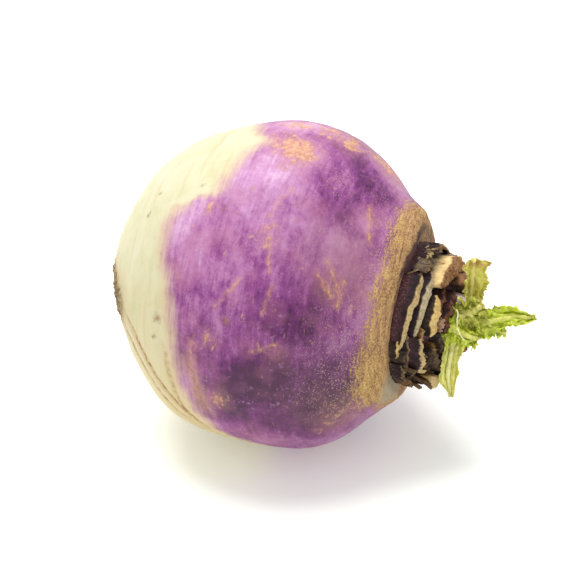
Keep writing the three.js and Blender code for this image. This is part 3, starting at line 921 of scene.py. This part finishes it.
# paths in mm from the crease: along the axis, towards the back, up
youngLeaves = {
    "young_leaf_upright": {
        "path": [(12.6, -0.2, 1.4), (14.2, -0.4, 4.4), (15.3, -0.6, 8.4), (15.8, -0.8, 13.4),
                 (15.9, -1.2, 18.6)],
        "width": 5.6, "widths": [0.5, 0.7, 0.9, 1.0, 1.0], "facing": (0.3, -1, 0.1), "ruffle": 0.45,
        "fold": 0.7, "lobes": 0.14, "teeth": 0.16, "crumple": 0.35, "pleat": 0.26,
        "look": "uprightLeaf", "lopsided": 0.35},
    "young_leaf_frilled": {
        "path": [(11.0, -4.0, -0.6), (13.8, -4.4, 0.8), (16.6, -4.8, 2.4), (20.2, -4.6, 4.0),
                 (25.6, -3.8, 5.8), (31.2, -3, 6.4)],
        "width": 9.6, "widths": [0.75, 1.0, 1.0, 0.72, 0.5, 0.14], "facing": (0.1, -1, 0.5),
        "ruffle": 0.9, "fold": 0.4, "lobes": 0.2, "teeth": 0.2, "crumple": 1.0, "look": "frilledLeaf",
        "lopsided": 0.0},
    "young_leaf_hanging": {
        "path": [(10.8, -4.6, 1.6), (12.0, -6.6, -2.6), (12.0, -8.2, -6.6), (11.9, -9.2, -11.0),
                 (12.9, -9.4, -16.4)],
        "width": 5.4, "widths": [1.25, 0.85, 0.8, 0.85, 0.14], "facing": (0.5, -1, 0.2),
        "ruffle": 0.25, "fold": 1.0, "lobes": 0.12, "teeth": 0.08, "crumple": 0.3, "pleat": 0.34,
        "look": "hangingLeaf", "lopsided": 0.0},
    "young_leaf_folded": {
        "path": [(13.0, 1.6, -1.6), (14.8, 3.0, -1.4), (17.0, 4.4, -0.8), (20.0, 5.4, 0.6)],
        "width": 5.2, "widths": [0.5, 0.8, 1.0, 0.4], "facing": (0.2, -1, 0.4), "ruffle": 0.6,
        "fold": 0.8, "lobes": 0.2, "teeth": 0.2, "crumple": 0.6, "look": "frilledLeaf",
        "lopsided": 0.0},
    "upperFrill": {
        "path": [(11.6, -5.2, 3.2), (14.2, -6.0, 5.4), (17.0, -6.0, 7.4), (18.8, -5.6, 8.8)],
        "width": 6.4, "widths": [0.8, 1.0, 1.1, 0.7], "facing": (0.1, -1, 0.4), "ruffle": 0.7,
        "fold": 0.3, "lobes": 0.2, "teeth": 0.4, "crumple": 1.5, "look": "oliveFrill", "lopsided": 0.0},
    "lowerFrill": {
        "path": [(8.6, -6.6, 2.6), (11.8, -7.6, 1.8), (15.0, -7.8, 1.0), (18.4, -7.2, 0.0)],
        "width": 6.0, "widths": [0.5, 1.0, 1.0, 0.8], "facing": (0.2, -1, 0.6), "ruffle": 0.8,
        "fold": 0.2, "lobes": 0.25, "teeth": 0.4, "crumple": 1.3, "look": "frilledLeaf",
        "lopsided": 0.0},
    "outerFrill": {
        "path": [(20.6, -4.8, 3.2), (22.6, -5.0, 2.0), (24.6, -4.8, 1.6)],
        "width": 2.8, "widths": [0.8, 1.0, 0.5], "facing": (0.2, -1, 0.5), "ruffle": 0.4, "fold": 0.2,
        "lobes": 0.2, "teeth": 0.4, "crumple": 0.6, "look": "frilledLeaf", "lopsided": 0.0},
}


def alongPath(points, share):
    # a smooth curve through the points, and its direction
    last = len(points) - 1
    spot = min(max(share, 0), 0.9999) * last
    index = int(spot)
    t = spot - index
    p0, p1, p2, p3 = (Vector(points[min(max(index + step, 0), last)]) for step in (-1, 0, 1, 2))
    bend = 2 * p0 - 5 * p1 + 4 * p2 - p3
    twist = 3 * p1 - p0 - 3 * p2 + p3
    place = 0.5 * (2 * p1 + (p2 - p0) * t + bend * t ** 2 + twist * t ** 3)
    way = 0.5 * ((p2 - p0) + 2 * bend * t + 3 * twist * t ** 2)
    return place, way.normalized()


def leafPoint(spec, u, v, seed):
    place, way = alongPath(spec["path"], v)
    side = Vector(spec["facing"]).normalized().cross(way).normalized()
    face = way.cross(side)
    spots = [(width, 0, 0) for width in spec["widths"]]
    half = spec["width"] / 2 * alongPath(spots, v)[0].x
    edge = abs(u)
    lobes = spec["lobes"] * (math.sin(v * 21 + seed + 1.3 * u) + noise.noise(Vector((v * 7, u, seed))))
    lobes += 2 * spec["teeth"] * noise.fractal(Vector((v * 34, u * 2, seed)), 0.6, 2.0, 3)
    half *= 1 + lobes * edge ** 1.5
    across = u * half + spec["lopsided"] * half * (1 - u * u)
    lift = -spec["fold"] * (1 - edge) ** 1.5 * 0.9 + spec["fold"] * edge ** 2 * 0.8
    frill = math.sin(v * 24 + 5 * u + seed) + 1.2 * noise.noise(Vector((v * 20, u * 2.5, seed + 4)))
    lift += spec["ruffle"] * frill * edge ** 1.6 * 0.8
    lift += spec["crumple"] * noise.fractal(Vector((u * 3.2, v * 9, seed + 8)), 0.7, 2.1, 4)
    lift += spec.get("pleat", 0) * math.cos(u * 11 + 0.8 * math.sin(v * 5 + seed))
    ends = 0.7 * spec["width"] / 5 * noise.noise(Vector((u * 4, seed, 0))) * smoothStep(v, 0.85, 1)
    along = ends + 0.5 * noise.noise(Vector((u * 3, v * 8, seed + 2))) * edge
    return crownCentre + mm * (place + side * across + face * lift + way * along)


ribThick = 1.3 * mm
ribWidth = 0.2  # of half the blade
leafEdge = 0.22  # how thick the blade is beside its rib


def buildLeaf(node, spec, seed):
    across, long = ((28, 110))
    leaf = foldedGrid(node.replace("_", ""), across, long)
    for vertex in leaf.data.vertices:
        u, v = vertex.co.x, (vertex.co.y + 1) / 2
        vertex.co = leafPoint(spec, u, v, seed)
    rib = leaf.vertex_groups.new(name="rib")
    for vertex in leaf.data.vertices:
        column = vertex.index % (across + 1)
        edge = abs(2 * column / across - 1)
        strong = leafEdge + (1 - leafEdge) * math.exp(-((edge / ribWidth) ** 2))
        rib.add([vertex.index], strong, "REPLACE")
    thickness = leaf.modifiers.new("thickness", "SOLIDIFY")
    thickness.thickness = ribThick
    thickness.offset = -0.2
    thickness.vertex_group = "rib"
    thickness.thickness_vertex_group = 0.0
    softening = leaf.modifiers.new("softening", "SUBSURF")
    softening.levels = softening.render_levels = 1
    applyAll(leaf)
    pick(leaf)
    bpy.ops.object.shade_smooth()
    leaf.data.materials.append(leafLooks[spec["look"]])
    if node in frame["nodes"]:
        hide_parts(node)
    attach(leaf, "root")
    return leaf


# light soaks a little way into the blades
leafGlow = {"Subsurface Weight": 0.25, "Subsurface Radius": (0.002, 0.002, 0.0006),
            "Subsurface Scale": 0.6}


def leafMaterial(name, blade, rib, brown, lined=0.0):
    material, surface, p = newMaterial(name)
    u, v = p.make("ShaderNodeTexCoord", output="UV").split()[:2]
    mottle = p.noise(0.7, 5, 0.6) * 0.6 + p.noise(0.25, 2) * 0.4
    colour = mottle.ramp(blade)
    edge = (u - 0.5).maths("ABSOLUTE") * 2
    veins = ((v + edge * 0.12) * 60).maths("SINE").smooth(0.75, 1) * edge.smooth(0.1, 0.3)
    pleats = ((u + 0.05 * p.noise(0.4, 3)) * 38).maths("SINE").smooth(-0.2, 1) * lined
    lines = (1 - edge.smooth(0.06, 0.3)) * 0.85 + veins * 0.25
    colour = colour.paint(rib, lines.maths("MAXIMUM", pleats * 0.75))
    dryEnd = brown * v.smooth(0.8, 1) * p.noise(0.5, 3).smooth(0.42, 0.6)
    colour = colour.paint(tint(150, 104, 52), dryEnd)
    dress(surface, colour, 0.5, p.noise(1.4, 4) * 0.6 + veins * 0.5 + pleats * 0.4, 0.5, 0.3 * mm)
    for name, value in leafGlow.items():
        surface.inputs[name].default_value = value
    return material


leafLooks = {
    "frilledLeaf": leafMaterial("frilledLeafBlade",
        shades((0.36, 112, 120, 14), (0.46, 158, 172, 28), (0.56, 192, 202, 62), (0.68, 214, 216, 126)),
        tint(206, 202, 104), 0.3),
    "oliveFrill": leafMaterial("oliveFrillBlade",
        shades((0.36, 96, 92, 20), (0.46, 142, 144, 36), (0.56, 178, 180, 72), (0.68, 208, 204, 130)),
        tint(186, 180, 96), 0.3),
    "uprightLeaf": leafMaterial("uprightLeafBlade",
        shades((0.36, 146, 132, 40), (0.46, 178, 170, 58), (0.56, 200, 194, 86), (0.68, 216, 210, 134)),
        tint(210, 196, 110), 0.95, 0.8),
    "hangingLeaf": leafMaterial("hangingLeafBlade",
        shades((0.36, 150, 150, 36), (0.46, 184, 182, 62), (0.56, 206, 202, 96), (0.68, 220, 214, 146)),
        tint(222, 216, 150), 0.2, 0.7),
}

for number, (node, spec) in enumerate(youngLeaves.items()):
    buildLeaf(node, spec, 2.3 * number + 0.7)
print("young leaves and frills:", len(youngLeaves))


# a dry thread caught between the leaves, and fine filaments torn from the outer bases

threads = {
    "dryThread": {"look": "pale", "radius": 0.16, "points": [
        (13.0, -8.4, 8.0), (13.8, -9.0, 7.4), (13.3, -9.4, 5.8), (13.8, -9.6, 3.6), (14.4, -9.6, 1.6),
        (15.6, -9.2, 0.2)]},
    "tornFilament1": {"look": "brown", "radius": 0.16, "points": [
        (1.6, -1.0, 17.0), (3.0, -1.6, 19.0), (4.4, -1.0, 19.6), (5.4, 0.4, 18.8)]},
    "tornFilament2": {"look": "brown", "radius": 0.14, "points": [
        (4.4, -3.0, 15.6), (6.4, -3.8, 17.2), (8.0, -2.6, 16.8)]},
    "tornFilament3": {"look": "brown", "radius": 0.14, "points": [
        (0.2, -9.0, 15.8), (1.8, -9.6, 17.0), (3.2, -8.6, 17.4)]},
}


def addThread(name, spec):
    points = spec["points"]
    deselectAll()
    curve = bpy.data.curves.new(name, "CURVE")
    curve.dimensions = "3D"
    curve.bevel_depth = spec["radius"] * mm
    curve.bevel_resolution = 2
    curve.use_fill_caps = True
    spline = curve.splines.new("NURBS")
    spline.points.add(len(points) - 1)
    for point, place in zip(spline.points, points):
        point.co = (*(crownCentre + mm * Vector(place)), 1)
    spline.order_u = 4
    spline.use_endpoint_u = True
    thread = bpy.data.objects.new(name, curve)
    bpy.context.scene.collection.objects.link(thread)
    pick(thread)
    bpy.ops.object.convert(target="MESH")
    thread = bpy.context.object
    bpy.ops.object.shade_smooth()
    thread.data.materials.append(threadLooks[spec["look"]])
    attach(thread, "root")


def threadMaterial(name, stops):
    material, surface, p = newMaterial(name)
    dress(surface, p.noise(1.2, 4, 0.6).ramp(stops), 0.6, p.noise(3, 3), 0.3, 0.2 * mm)
    return material


threadLooks = {
    "pale": threadMaterial("paleDryThread", shades((0.4, 206, 196, 146), (0.6, 236, 230, 196))),
    "brown": threadMaterial("brownDryThread", shades((0.4, 86, 64, 38), (0.6, 150, 124, 82))),
}

for name, spec in threads.items():
    addThread(name, spec)
print("threads:", len(threads))


# floor, light and camera

studio = {
    "distance": 0.5,
    "sensor": 36,
    "lens": 120.3,
    "azimuth": 19.6,
    "elevation": 29.6,
    "aimRight": 3.32 * mm,
    "aimDown": 2.3 * mm,
    "floorSize": 8,
    "floorColour": (0.915, 0.95, 0.905, 1),
    "floorGlow": (1, 1, 0.98, 1),
    "floorGlowStrength": 0.19,
    "skyStrength": 0.85,
    "lampPlace": (-0.14, 0.06, 0.8),
    "lampSize": 0.6,
    "lampPower": 7.2,
}


def addFloor():
    deselectAll()
    bpy.ops.mesh.primitive_plane_add(size=studio["floorSize"], location=(0, 0, 0))
    floor = bpy.context.object
    floor.name = "studioFloor"
    material, surface = newMaterial("paleFloor")[:2]
    surface.inputs["Base Color"].default_value = studio["floorColour"]
    surface.inputs["Roughness"].default_value = 0.7
    surface.inputs["Specular IOR Level"].default_value = 0.2
    surface.inputs["Emission Color"].default_value = studio["floorGlow"]
    surface.inputs["Emission Strength"].default_value = studio["floorGlowStrength"]
    floor.data.materials.append(material)


def addLight():
    light = bpy.data.lights.new("keyLight", "AREA")
    light.shape = "DISK"
    light.size = studio["lampSize"]
    light.energy = studio["lampPower"]
    lamp = bpy.data.objects.new("keyLight", light)
    lamp.location = studio["lampPlace"]
    lamp.rotation_euler = (bodyCentre - lamp.location).to_track_quat("-Z", "Y").to_euler()
    bpy.context.scene.collection.objects.link(lamp)


def addCamera():
    azimuth, elevation = math.radians(studio["azimuth"]), math.radians(studio["elevation"])
    level = math.cos(elevation)
    back = Vector((math.sin(azimuth) * level, -math.cos(azimuth) * level, math.sin(elevation)))
    right = Vector((math.cos(azimuth), math.sin(azimuth), 0))
    up = back.cross(right)
    camera = bpy.data.objects.new("camera", bpy.data.cameras.new("camera"))
    camera.data.lens = studio["lens"]
    camera.data.sensor_width = studio["sensor"]
    target = bodyCentre + right * studio["aimRight"] - up * studio["aimDown"]
    camera.location = target + back * studio["distance"]
    camera.rotation_euler = back.to_track_quat("Z", "Y").to_euler()
    bpy.context.scene.collection.objects.link(camera)
    bpy.context.scene.camera = camera


def addWorld():
    world = bpy.data.worlds.new("studio")
    world.use_nodes = True
    world.node_tree.nodes["Background"].inputs[0].default_value = (1, 1, 1, 1)
    world.node_tree.nodes["Background"].inputs[1].default_value = studio["skyStrength"]
    bpy.context.scene.world = world
    bpy.context.scene.view_settings.view_transform = "Standard"


addFloor()
addWorld()
addLight()
addCamera()
